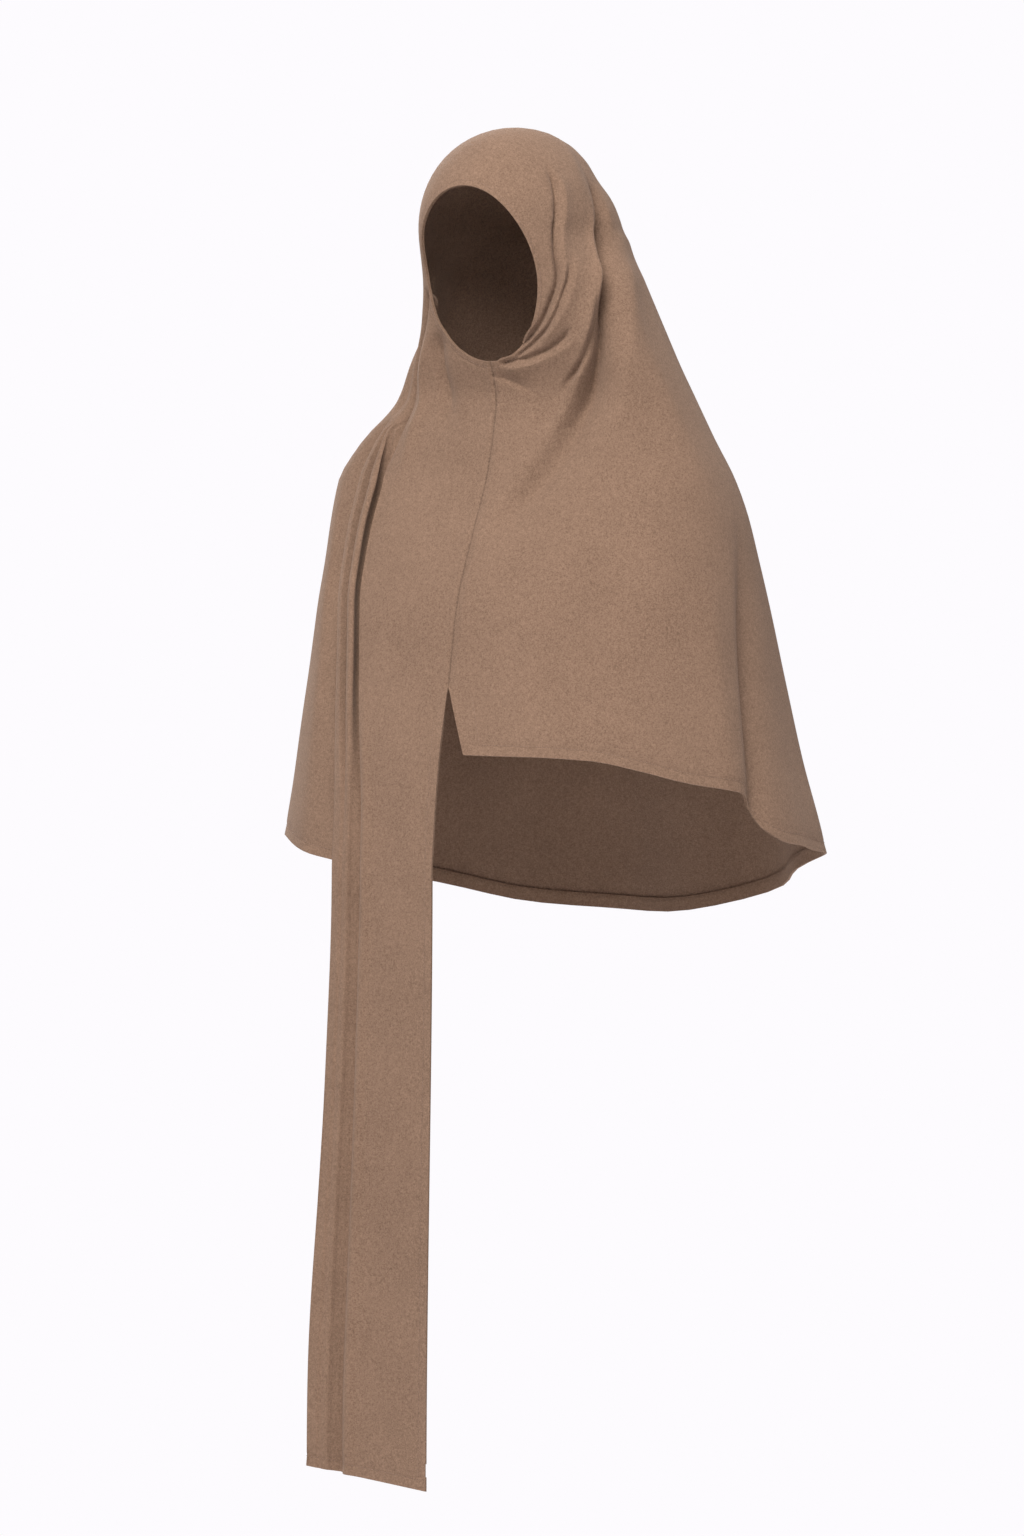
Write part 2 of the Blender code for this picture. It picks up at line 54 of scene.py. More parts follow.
# %% Sizes
MM = 0.001
HEAD_HEIGHT, HEAD_WIDTH, HEAD_DEPTH = 0.235, 0.190, 0.225
FACE_HEIGHT, FACE_WIDTH = 0.175, 0.137
SHOULDER_WIDTH, BODY_DEPTH = 0.456, 0.400
CAPE_DROP, SLIT_DROP, PANEL_DROP = 0.550, 0.322, 1.123
WALL, HEM_WALL, CLEARANCE = 0.0012, 0.0012, 0.0003
FACE_HEM_WIDTH, HEM_WIDTH = 0.008, 0.014
DOME_SHARE, CROWN_SHIFT = 0.425, -0.004
SHOULDER_SHARE = 0.118
PANEL_FLAT_Y, PANEL_CORNER_RISE, PANEL_FLARE = -0.400, 0.023, 0.009
SLIT_SPREAD, SLIT_DRIFT = 0.028, 0.002

# %% [markdown]
# A drape is easiest to describe as a stack of sections, as a pattern cutter takes a figure's measures
# level by level. Each row says how far down it is, how far the cloth stands from the head's axis to the
# right, left, front and back, where its widest point is, and how square it is.

# %% Sections of the drape
Section = namedtuple("Section", "down right left front back middle square")
HEAD_SECTIONS = (
    Section(0.300, 0.500, 0.510, -0.460, 0.535, 0.022, 2.0),
    Section(0.425, 0.500, 0.510, -0.460, 0.535, 0.022, 2.0),
    Section(0.650, 0.526, 0.648, -0.356, 0.604, 0.044, 2.0),
    Section(0.820, 0.582, 0.734, -0.285, 0.671, 0.062, 2.0),
    Section(0.990, 0.696, 0.823, -0.208, 0.728, 0.080, 2.0),
)
BODY_SECTIONS = (
    Section(0.067, 0.336, 0.380, -0.086, 0.438, 0.060, 2.05),
    Section(0.140, 0.434, 0.419, -0.103, 0.465, 0.075, 2.10),
    Section(0.213, 0.496, 0.461, -0.133, 0.490, 0.090, 2.15),
    Section(0.286, 0.510, 0.489, -0.178, 0.505, 0.100, 2.20),
    Section(0.358, 0.519, 0.508, -0.223, 0.520, 0.108, 2.20),
    Section(0.431, 0.530, 0.526, -0.263, 0.540, 0.112, 2.20),
    Section(0.577, 0.552, 0.556, -0.303, 0.580, 0.120, 2.20),
    Section(0.722, 0.578, 0.596, -0.345, 0.600, 0.125, 2.15),
    Section(0.868, 0.611, 0.643, -0.368, 0.636, 0.130, 2.10),
    Section(1.028, 0.630, 0.675, -0.383, 0.658, 0.135, 2.10),
)


def smooth_step(share):
    share = np.clip(share, 0.0, 1.0)
    return share * share * (3.0 - 2.0 * share)


def curve(at, values, where):
    """A smooth curve through the values that never overshoots them."""
    at, values = np.asarray(at, float), np.asarray(values, float)
    where = np.clip(np.asarray(where, float), at[0], at[-1])
    gap, rise = np.diff(at), np.diff(values) / np.diff(at)
    slope = np.zeros(len(at))
    slope[0], slope[-1] = rise[0], rise[-1]
    for k in range(1, len(at) - 1):
        if rise[k - 1] * rise[k] > 0:
            slope[k] = (gap[k - 1] + gap[k]) / (gap[k] / rise[k - 1] + gap[k - 1] / rise[k])
    k = np.clip(np.searchsorted(at, where, side="right") - 1, 0, len(at) - 2)
    s = (where - at[k]) / gap[k]
    start = values[k] * (1 + 2 * s) * (1 - s) ** 2 + gap[k] * slope[k] * s * (1 - s) ** 2
    end = values[k + 1] * s * s * (3 - 2 * s) + gap[k] * slope[k + 1] * s * s * (s - 1)
    return start + end


def section_table():
    rows = []
    for s in HEAD_SECTIONS:
        sizes = [s.right * HEAD_WIDTH, s.left * HEAD_WIDTH, s.front * HEAD_DEPTH]
        sizes += [s.back * HEAD_DEPTH, s.middle * HEAD_DEPTH, s.square]
        rows.append([s.down * HEAD_HEIGHT, *sizes])
    for s in BODY_SECTIONS:
        sizes = [s.right * SHOULDER_WIDTH, s.left * SHOULDER_WIDTH, s.front * BODY_DEPTH]
        sizes += [s.back * BODY_DEPTH, s.middle * BODY_DEPTH, s.square]
        rows.append([HEAD_HEIGHT + s.down * CAPE_DROP, *sizes])
    return np.array(rows)


SECTIONS = section_table()
DOME_HEIGHT = DOME_SHARE * HEAD_HEIGHT
DOME_LENGTH = math.pi / 4 * (DOME_HEIGHT + 0.5 * HEAD_WIDTH)
print("sections:", len(SECTIONS))

# %% [markdown]
# Two measures place any point of the cloth: its turn round the body, and its way from the crown over the
# head and down. The next functions change one into the other and give the smooth cloth with no folds.

# %% The cloth without folds


def length_at(drop):
    drop = np.asarray(drop, float)
    part = np.arccos(np.clip(1 - drop / DOME_HEIGHT, -1, 1)) / (math.pi / 2)
    return np.where(drop < DOME_HEIGHT, DOME_LENGTH * part, DOME_LENGTH + drop - DOME_HEIGHT)


def drop_at(length):
    arc = np.clip(length / DOME_LENGTH, 0, 1) * math.pi / 2
    return np.where(length < DOME_LENGTH, DOME_HEIGHT * (1 - np.cos(arc)), DOME_HEIGHT + length - DOME_LENGTH)


def surface(turn, length):
    turn, length = np.asarray(turn, float), np.asarray(length, float)
    drop = drop_at(length)
    scale = np.sin(np.clip(length / DOME_LENGTH, 0, 1) * math.pi / 2)
    level = np.maximum(drop, SECTIONS[0, 0])
    right, left, front, back, middle, square = (
        curve(SECTIONS[:, 0], SECTIONS[:, k], level) for k in range(1, 7)
    )
    side, ahead = np.sin(turn), np.cos(turn)
    wide = np.sign(side) * np.abs(side) ** (2 / square) * np.where(side > 0, left, right) * scale
    deep = np.where(ahead > 0, middle - front, back - middle) * scale
    centre = middle * scale**2 + CROWN_SHIFT * (1 - scale**2)
    y = centre - np.sign(ahead) * np.abs(ahead) ** (2 / square) * deep
    return np.stack([wide, y, -drop], axis=-1)


def on_map(turn, length):
    return np.stack([length * np.sin(turn), -length * np.cos(turn)], axis=-1)


# %% [markdown]
# The cloth is a grid of threads. Its columns run from the face edge over the head and down to the hem,
# and its rows run round. Guide lines say where some columns pass, and the hem's level is a short table.
# The rows lie closer together at every hem, where the cloth turns and is stitched.

# %% Guides and hem levels
Guide = namedtuple("Guide", "column face shoulder waist hem")
GUIDES = (
    Guide(0, 0, 0, 0, 0),
    Guide(9, 32, -41, -19, -14),
    Guide(25, 84, -66, -44, -39),
    Guide(31, 124, -98, -92, -90),
    Guide(39, 180, -180, -180, -180),
    Guide(48, 234, -258, -262, -262),
    Guide(53, 264, -277, -278, -278),
    Guide(60, 306, -308, -310, -312),
    Guide(70, 360, -360, -360, -360),
)
HemLevel = namedtuple("HemLevel", "angle down")
HEM_LEVELS = (
    HemLevel(-360, 0.713),
    HemLevel(-326, 0.724),
    HemLevel(-313, 0.744),
    HemLevel(-303, 0.762),
    HemLevel(-290, 0.778),
    HemLevel(-283, 0.789),
    HemLevel(-279, 0.842),
    HemLevel(-262, 0.878),
    HemLevel(-240, 0.898),
    HemLevel(-180, 1.000),
    HemLevel(-125, 0.940),
    HemLevel(-90, 0.878),
    HemLevel(-62, 0.858),
    HemLevel(-43, 0.884),
    HemLevel(-29, 0.913),
    HemLevel(0, 0.913),
)
COLUMNS, EDGE_COLUMN = 70, 21
NECK_ROWS, CHEST_ROWS, FLAP_ROWS, PANEL_ROWS = 110, 22, 20, 46
HEM_STEPS = 5
SLIT_ROW = HEM_STEPS + NECK_ROWS + CHEST_ROWS
HEM_ROW = SLIT_ROW + FLAP_ROWS + HEM_STEPS


def fine_columns():
    """Column places, closer together at the slit's edges and in the pleat."""
    edge = np.array([0, 0.2, 0.4, 0.6, 0.8, 1.0]) * 1.1
    left = COLUMNS - edge[::-1]
    front = np.linspace(edge[-1], 9, 20)
    pleat = [np.linspace(*span) for span in ((9, 11, 7), (11, 13.6, 18), (13.6, 19, 27), (19, 27, 27))]
    pleat = np.concatenate([pleat[0], *[span[1:] for span in pleat[1:]]])
    back = np.linspace(27, 44, 34)
    cheek = np.linspace(44, left[0], 124)
    return np.concatenate([edge, front[1:-1], pleat, back[1:-1], cheek, left[1:]])


COLUMN = fine_columns()
LAST = len(COLUMN) - 1
EDGE = int(np.argmin(np.abs(COLUMN - EDGE_COLUMN)))
COLUMN[EDGE] = EDGE_COLUMN
print("columns:", len(COLUMN), "rows:", HEM_ROW + 1, "panel rows:", PANEL_ROWS)


def face_edge(share):
    round_it = share * 2 * math.pi
    drop = HEAD_HEIGHT - FACE_HEIGHT / 2 * (1 - np.cos(round_it))
    across = -FACE_WIDTH / 2 * np.sin(round_it)
    level = np.maximum(drop, SECTIONS[0, 0])
    arc = np.arccos(np.clip(1 - drop / DOME_HEIGHT, 0, 1))
    left, right = (curve(SECTIONS[:, 0], SECTIONS[:, k], level) for k in (2, 1))
    wide = np.where(across > 0, left, right) * np.sin(arc)
    return on_map(np.arcsin(np.clip(across / wide, -0.95, 0.95)), length_at(drop))


def map_rings():
    known = [g.column for g in GUIDES]
    face, shoulder, waist, hem = (
        curve(known, [getattr(g, k) for g in GUIDES], COLUMN) for k in ("face", "shoulder", "waist", "hem")
    )
    down = curve([h.angle for h in HEM_LEVELS], [h.down for h in HEM_LEVELS], hem)
    levels = (HEAD_HEIGHT + SHOULDER_SHARE * CAPE_DROP, HEAD_HEIGHT + SLIT_DROP, HEAD_HEIGHT + down * CAPE_DROP)
    rings = [on_map(np.radians(a), length_at(d + 0 * a)) for a, d in zip((shoulder, waist, hem), levels)]
    return [face_edge(face / 360), *rings]


def spread(points, lengths):
    steps = np.linalg.norm(np.diff(points, axis=0), axis=1)
    way = np.concatenate([[0.0], np.cumsum(steps)])
    return np.stack([np.interp(lengths, way, points[:, k]) for k in (0, 1)], axis=-1)


def way_of(points):
    return np.linalg.norm(np.diff(points, axis=0), axis=1).sum()


def column_rows(nodes):
    fine = np.linspace(0, 3, 301)
    line = np.stack([curve([0, 1, 2, 3], nodes[:, k], fine) for k in (0, 1)], axis=-1)
    neck, chest, flap = line[:101], line[100:201], line[200:]
    rows = [spread(neck, FACE_HEM_WIDTH * np.linspace(0, 1, HEM_STEPS + 1)[:-1])]
    share = np.linspace(0, 1, NECK_ROWS) ** 1.12
    rows.append(spread(neck, FACE_HEM_WIDTH + (way_of(neck) - FACE_HEM_WIDTH) * share))
    rows.append(spread(chest, way_of(chest) * np.linspace(0, 1, CHEST_ROWS + 2)[1:]))
    flap_way = way_of(flap)
    rows.append(spread(flap, (flap_way - HEM_WIDTH) * np.linspace(0, 1, FLAP_ROWS + 1)[1:]))
    rows.append(spread(flap, flap_way - HEM_WIDTH * np.linspace(1, 0, HEM_STEPS + 1)[1:]))
    return np.concatenate(rows)


# %% [markdown]
# Folds make a drape look like cloth. Each one runs through a few points, given as degrees round from the
# centre front and shares of the head's height down from the crown. A valley has a depth less than 0.
# They start where the jersey is pulled in: round the face, behind the jaw and at the shoulders.

# %% Folds
Fold = namedtuple("Fold", "name depth right left start end path")
FOLDS = (
    Fold("temple crease", -6.5, 2.0, 2.6, 0.12, 0.06, ((57, 0.17), (60, 0.25), (59, 0.35), (57, 0.47), (48, 0.58), (42, 0.68), (35, 0.755), (28, 0.835), (20, 0.90), (8, 0.985))),
    Fold("temple crest", 3.6, 2.6, 8, 0.12, 0.2, ((62, 0.18), (65, 0.27), (64, 0.36), (61, 0.47), (52, 0.59), (45, 0.69), (38, 0.77), (30, 0.85), (21, 0.915))),
    Fold("jaw crease", -5.0, 2.0, 2.4, 0.15, 0.06, ((56, 0.57), (49, 0.66), (43, 0.72), (36, 0.80), (29, 0.865), (20, 0.93), (9, 0.995))),
    Fold("jaw crest", 2.6, 3, 8, 0.25, 0.2, ((66, 0.50), (56, 0.63), (48, 0.72), (40, 0.80), (32, 0.87), (23, 0.935))),
    Fold("under jaw", -4.5, 2.6, 2.2, 0.2, 0.05, ((41, 0.855), (35, 0.905), (27, 0.95), (16, 0.99), (3, 1.012))),
    Fold("tent start", 2.4, 2.4, 9, 0.2, 0.1, ((44, 0.87), (37, 0.93), (28, 0.975), (17, 1.015), (5, 1.035))),
    Fold("cheek crease", -8.5, 3.0, 4.0, 0.3, 0.35, ((68, 0.63), (61, 0.74), (52, 0.86), (44, 0.95), (36, 1.03), (29, 1.09), (22, 1.17))),
    Fold("cheek crest", 4.0, 12, 3.5, 0.25, 0.3, ((76, 0.55), (68, 0.66), (58, 0.78), (48, 0.88), (38, 0.98))),
    Fold("long crease", -22.0, 3.6, 13, 0.09, 0.4, ((97, 0.20), (92, 0.33), (91, 0.41), (87, 0.50), (77, 0.62), (66, 0.745), (56, 0.86), (48, 0.96), (40, 1.07), (31, 1.20), (24, 1.32))),
    Fold("fall ridge", 3.5, 8, 8, 0.3, 0.3, ((50, 0.88), (43, 0.96), (35, 1.07), (26, 1.20), (19, 1.32), (11, 1.46), (4, 1.61), (-2, 1.74))),
    Fold("long fall", -13.0, 9, 20, 0.45, 0.3, ((62, 0.80), (48, 0.96), (40, 1.07), (31, 1.20), (24, 1.32), (16, 1.46), (9, 1.61), (2, 1.76))),
    Fold("long crest", 4.0, 5, 3.5, 0.2, 0.35, ((88, 0.28), (84, 0.40), (79, 0.51), (70, 0.63), (60, 0.75), (50, 0.87), (42, 0.97), (33, 1.09), (25, 1.22))),
    Fold("behind the crease", 3.0, 6, 7, 0.3, 0.5, ((104, 0.28), (101, 0.42), (94, 0.56))),
    Fold("crown slope", -8.0, 34, 34, 0.22, 0.22, ((84, 0.16), (110, 0.20), (135, 0.21), (165, 0.24))),
    Fold("outer ridge", 5.0, 14, 17, 0.22, 0.22, ((104, 0.42), (98, 0.60), (88, 0.74), (70, 0.94), (54, 1.14), (36, 1.40), (22, 1.64))),
    Fold("nape fullness", 6.0, 20, 20, 0.22, 0.22, ((96, 0.47), (123, 0.49), (150, 0.50))),
    Fold("under chin", -3.0, 3, 7, 0.3, 0.5, ((-2, 1.055), (4, 1.075), (11, 1.11), (18, 1.16))),
    Fold("front crease", -13.0, 7, 3.5, 0.12, 0.4, ((-44, 0.68), (-47, 0.745), (-52, 0.90), (-53, 1.03), (-50, 1.12), (-45.6, 1.20), (-41, 1.28), (-38, 1.36), (-36, 1.45), (-35, 1.56))),
    Fold("right neck ridge", 6.0, 7, 8, 0.3, 0.35, ((-38, 0.78), (-42, 0.93), (-42, 1.06), (-36, 1.20), (-30, 1.36), (-27, 1.55))),
    Fold("right neck valley", -8.0, 9, 9, 0.25, 0.4, ((-30, 0.84), (-31, 0.95), (-28, 1.06), (-22, 1.18), (-16, 1.32))),
    Fold("beside the pleat", -11.0, 14, 2.5, 0.25, 0.3, ((-61, 1.20), (-57, 1.264), (-52.5, 1.349), (-48, 1.528), (-47, 1.706), (-44.5, 1.902), (-40.5, 2.132), (-37, 2.45))),
    Fold("right cheek valley", -6.0, 9, 12, 0.22, 0.22, ((-84, 0.50), (-78, 0.78), (-66, 1.06), (-58, 1.25))),
    Fold("right nape ridge", 6.0, 18, 18, 0.22, 0.22, ((-112, 0.40), (-104, 0.80), (-96, 1.20))),
    Fold("nape valley", -8.0, 22, 22, 0.22, 0.22, ((150, 0.70), (142, 1.10), (132, 1.60))),
    Fold("right nape valley", -8.0, 22, 22, 0.22, 0.22, ((-150, 0.72), (-143, 1.14), (-134, 1.66))),
    Fold("chest fall", -5.0, 26, 26, 0.22, 0.22, ((44, 1.55), (35, 2.05), (30, 2.68))),
    Fold("chest ridge", 3.0, 26, 26, 0.22, 0.22, ((30, 1.60), (20, 2.10), (14, 2.66))),
    Fold("arm valley", -12.0, 9, 22, 0.35, 0.02, ((101, 1.58), (94, 1.80), (89.5, 2.05), (86.8, 2.264), (84.1, 2.477), (81.4, 2.689), (78.6, 2.86), (76.5, 2.98), (74, 3.12), (71, 3.3))),
    Fold("arm ridge", 6.0, 22, 22, 0.22, 0.22, ((74, 1.90), (73, 2.45), (71, 2.95))),
)
Hang = namedtuple("Hang", "angle half_width depth")
HANGS = (
    Hang(-96, 8, 7.0),
    Hang(-113, 8, -13.0),
    Hang(-131, 9, 13.0),
    Hang(-150, 9, -14.0),
    Hang(-170, 9, 14.0),
    Hang(-189, 9, -14.0),
    Hang(-208, 9, 14.0),
    Hang(-227, 9, -12.0),
    Hang(-245, 8, 9.0),
)
HANG_START = 0.12
PATH_STEPS, PATH_SMOOTH = 120, 17
GATHER, GATHER_REACH, GATHER_MOST = 0.6, 2.4, 6


def fold_line(fold):
    """A fold's path as turns and ways from the crown, smoothed, and its strength along the way."""
    at = np.linspace(0, 1, len(fold.path))
    fine = np.linspace(0, 1, PATH_STEPS)
    ends = PATH_SMOOTH // 2
    window = np.hanning(PATH_SMOOTH + 2)[1:-1] / np.hanning(PATH_SMOOTH + 2).sum()
    lines = []
    for k in (0, 1):
        line = np.interp(fine, at, [p[k] for p in fold.path])
        first, last = line[0] - np.arange(ends, 0, -1) * (line[1] - line[0]), line[-1] + np.arange(1, ends + 1) * (line[-1] - line[-2])
        lines.append(np.convolve(np.concatenate([first, line, last]), window, mode="valid"))
    fade = smooth_step(fine / fold.start) * smooth_step((1 - fine) / fold.end)
    return np.radians(lines[0]), length_at(lines[1] * HEAD_HEIGHT), fade


def gather(flat):
    """Draws the grid's points towards the folds, so that the cells are small where the cloth bends."""
    rows, columns = np.indices(flat.shape[:2])
    inside = smooth_step(rows / 14) * smooth_step((SLIT_ROW - rows) / 30)
    inside *= smooth_step(columns / 10) * smooth_step((LAST - columns) / 10)
    for fold in FOLDS:
        thin = min(fold.right, fold.left)
        if thin > GATHER_MOST:
            continue
        turn, length, fade = fold_line(fold)
        line = on_map(turn, length)
        way = np.gradient(line, axis=0)
        way /= np.linalg.norm(way, axis=1, keepdims=True)
        reach = GATHER_REACH * thin * MM * np.clip(length.mean() / 0.25, 1, 2)
        low, high = line.min(axis=0) - 3 * reach, line.max(axis=0) + 3 * reach
        close = ((flat > low) & (flat < high)).all(axis=-1)
        points = flat[close]
        apart = np.linalg.norm(points[:, None, :] - line[None, :, :], axis=2)
        near = apart.argmin(axis=1)
        off = points - line[near]
        across = np.stack([-way[near, 1], way[near, 0]], axis=-1)
        out = (off * across).sum(axis=1, keepdims=True)
        beside = np.abs((off * way[near]).sum(axis=1, keepdims=True)) < 0.3 * reach
        pull = GATHER * (inside[close] * fade[near])[:, None] * beside * np.exp(-((out / reach) ** 2))
        flat[close] = points - across * out * pull
    return flat


def fold_shift(points):
    shift = np.zeros(points.shape[:-1])
    flat = points.reshape(-1, 3)
    outward = normals_of(points, SLIT_ROW).reshape(-1, 3)
    for fold in FOLDS:
        turn, length, fade = fold_line(fold)
        line = surface(turn, length)
        way = np.gradient(line, axis=0)
        way /= np.linalg.norm(way, axis=1, keepdims=True)
        reach = 3.2 * max(fold.right, fold.left) * MM
        low, high = line.min(axis=0) - reach, line.max(axis=0) + reach
        close = np.where(((flat > low) & (flat < high)).all(axis=1))[0]
        off = flat[close, None, :] - line[None, :, :]
        apart = np.linalg.norm(off, axis=2)
        near = apart.argmin(axis=1)
        off = off[np.arange(len(close)), near]
        outer = (np.cross(way[near], off) * outward[close]).sum(axis=1) > 0
        away = apart.min(axis=1) / MM / np.where(outer, fold.left, fold.right)
        found = np.zeros(len(flat))
        found[close] = fold.depth * MM * fade[near] * np.exp(-np.abs(away) ** 1.6)
        shift += found.reshape(shift.shape)
    return shift


def hang_shift(turn, drop):
    grow = smooth_step((drop - HEAD_HEIGHT) / CAPE_DROP - HANG_START)
    angle = np.degrees(turn)
    shift = np.zeros_like(drop)
    for hang in HANGS:
        shift += hang.depth * MM * np.exp(-(((angle - hang.angle) / hang.half_width) ** 2))
    return shift * grow


# %% [markdown]
# The long panel's outer edge folds under itself over the side of the cape. The table says, for a column,
# how far it lies from the fold's edge and how far it stands out, both in millimetres.

# %% The pleat beside the long panel
Pleat = namedtuple("Pleat", "column across out low_across low_out")
PLEAT = (
    Pleat(9.0, 46.0, 0.5, 56.0, 1.0),
    Pleat(10.5, 38.5, 0.5, 47.0, 4.5),
    Pleat(11.3, 32.5, 1.0, 42.0, 1.5),
    Pleat(11.7, 31.5, -9.0, 38.5, -2.5),
    Pleat(12.1, 27.0, -13.0, 34.5, -7.5),
    Pleat(12.5, 21.5, -8.0, 31.0, -9.5),
    Pleat(12.9, 24.0, -1.0, 28.0, -7.5),
    Pleat(13.3, 28.0, 4.5, 24.0, -4.0),
    Pleat(13.8, 25.0, 8.0, 22.0, -0.5),
    Pleat(14.4, 18.5, 5.5, 18.5, 0.0),
    Pleat(15.0, 13.5, -4.0, 14.0, -0.5),
    Pleat(15.7, 10.0, 7.0, 10.5, 1.0),
    Pleat(17.0, 4.5, 6.5, 4.5, 1.0),
    Pleat(18.0, -0.5, 2.5, -0.5, 0.5),
    Pleat(19.0, 3.0, -3.5, 3.0, -3.5),
    Pleat(20.0, 11.0, -6.5, 11.0, -6.5),
    Pleat(21.0, 17.0, -11.0, 17.0, -11.0),
    Pleat(22.0, 11.0, -19.0, 11.0, -19.0),
    Pleat(23.0, -3.0, -21.0, -3.0, -21.0),
    Pleat(24.0, -20.0, -17.0, -20.0, -17.0),
    Pleat(26.0, -50.0, -3.0, -50.0, -3.0),
)
PLEAT_FIRST, PLEAT_TURN, PLEAT_LAST, PLEAT_RUN_IN = 6, 18, 26, 4.5
PLEAT_START, PLEAT_ROLLED, PLEAT_FULL = 0.09, 0.23, 0.52
PLEAT_EASE, PLEAT_EASED = 0.50, 0.88

# %% [markdown]
# The fold's edge leaves the shoulder at the side and swings to the front. This table gives its angle at
# levels between the chin and the hem.

# %% The fold's edge
EdgePlace = namedtuple("EdgePlace", "down angle")
PLEAT_EDGE = (
    EdgePlace(0.080, -57.0),
    EdgePlace(0.149, -49.5),
    EdgePlace(0.225, -45.0),
    EdgePlace(0.302, -43.5),
    EdgePlace(0.385, -41.0),
    EdgePlace(0.484, -36.8),
    EdgePlace(0.589, -33.7),
    EdgePlace(0.695, -30.8),
    EdgePlace(0.833, -28.1),
    EdgePlace(1.000, -26.5),
)


def edge_angle(drop):
    known = [HEAD_HEIGHT + place.down * CAPE_DROP for place in PLEAT_EDGE]
    return curve(known, [place.angle for place in PLEAT_EDGE], drop)


def pleat_curve(column, first, second, share):
    """Two of the pleat's columns of figures at these grid columns, mixed by share, in metres."""
    known = [place.column for place in PLEAT]
    high, low = (curve(known, [getattr(place, k) for place in PLEAT], column) * MM for k in (first, second))
    return high + (low - high) * share


def normals_of(points, seam_row):
    down = np.gradient(points, axis=0)
    along = np.gradient(points, axis=1)
    up = seam_row + 1
    closing = (points[:up, 1] - points[:up, -2]) / 2
    along[:up, 0] = closing
    along[:up, -1] = closing
    out = np.cross(along, down)
    return out / np.maximum(np.linalg.norm(out, axis=2, keepdims=True), 1e-12)


def cape_grid():
    rings = map_rings()
    flat = np.stack([column_rows(np.stack([r[c] for r in rings])) for c in range(LAST + 1)], axis=1)
    flat[: SLIT_ROW + 1, -1] = flat[: SLIT_ROW + 1, 0]
    flat = gather(flat)
    length = np.linalg.norm(flat, axis=2)
    turn = np.arctan2(flat[..., 0], -flat[..., 1])
    turn = np.where(turn > 1e-9, turn - 2 * math.pi, turn)
    turn[:, -1] = -2 * math.pi
    turn[:, 0] = 0.0
    drop = drop_at(length)
    column = COLUMN[None, :] + 0.0 * drop
    below = (drop - HEAD_HEIGHT) / CAPE_DROP
    eased = smooth_step((below - PLEAT_EASE) / (PLEAT_EASED - PLEAT_EASE))
    across = pleat_curve(column, "across", "low_across", eased)
    out = pleat_curve(column, "out", "low_out", eased)
    inside = smooth_step((column - PLEAT_FIRST) / PLEAT_RUN_IN) * smooth_step((PLEAT_LAST - column) / 2)
    strength = smooth_step((below - PLEAT_START) / (PLEAT_FULL - PLEAT_START)) * inside
    roll = smooth_step((below - PLEAT_START) / (PLEAT_ROLLED - PLEAT_START)) * inside
    edge = np.radians(edge_angle(drop))
    step = math.radians(1)
    reach = np.linalg.norm(surface(edge + step, length) - surface(edge - step, length), axis=2) / 2
    folded = edge + across / reach * step
    base = surface(turn, length)
    base_normals = normals_of(base, SLIT_ROW)
    under = column > PLEAT_TURN
    turned = int(np.argmin(np.abs(COLUMN - PLEAT_TURN)))
    lead = (roll * (folded - turn))[:, turned : turned + 1] * inside
    beyond = turn + lead + (folded - turn - lead) * strength
    points = surface(np.where(under, beyond, turn + (folded - turn) * roll), length)
    rim = out[:, turned : turned + 1]
    shift = fold_shift(points) * (1 - 0.7 * strength) + hang_shift(turn, drop)
    shift += np.where(under, rim * roll + (out - rim) * strength, out * roll)
    points = points + base_normals * shift[..., None]
    points[: SLIT_ROW + 1, -1] = points[: SLIT_ROW + 1, 0]
    return points, turn, length


def panel_grid(last):
    long = PANEL_DROP - (-last[: EDGE + 1, 2] - HEAD_HEIGHT)
    hem = HEM_WIDTH / long.min()
    share = np.concatenate([np.linspace(0, 1 - hem, PANEL_ROWS + 1)[1:], 1 - hem * np.linspace(1, 0, HEM_STEPS + 1)[1:]])
    out = pleat_curve(COLUMN[: EDGE + 1], "out", "low_out", 1.0)
    out = out * smooth_step((COLUMN[: EDGE + 1] - PLEAT_FIRST) / PLEAT_RUN_IN)
    rows = []
    for s in share:
        row = last[: EDGE + 1].copy()
        settle = smooth_step(s)
        row[:, 1] = row[:, 1] * (1 - settle) + (PANEL_FLAT_Y * BODY_DEPTH - out) * settle
        outer = np.abs(row[:, 0]) / np.abs(row[:, 0]).max()
        rise = PANEL_CORNER_RISE * outer
        row[:, 0] -= PANEL_FLARE * settle * outer
        row[:, 2] -= s * (long - rise)
        rows.append(row)
    return np.stack(rows)


def open_slit(points):
    share = np.clip((np.arange(HEM_ROW + 1) - SLIT_ROW) / (HEM_ROW - SLIT_ROW), 0, 1)[:, None]
    near_left = np.clip(1 - (COLUMNS - COLUMN) / 6, 0, 1)[None, :]
    near_right = np.clip(1 - COLUMN / 6, 0, 1)[None, :]
    points[..., 0] += share * (SLIT_SPREAD * near_left - SLIT_DRIFT * near_right)


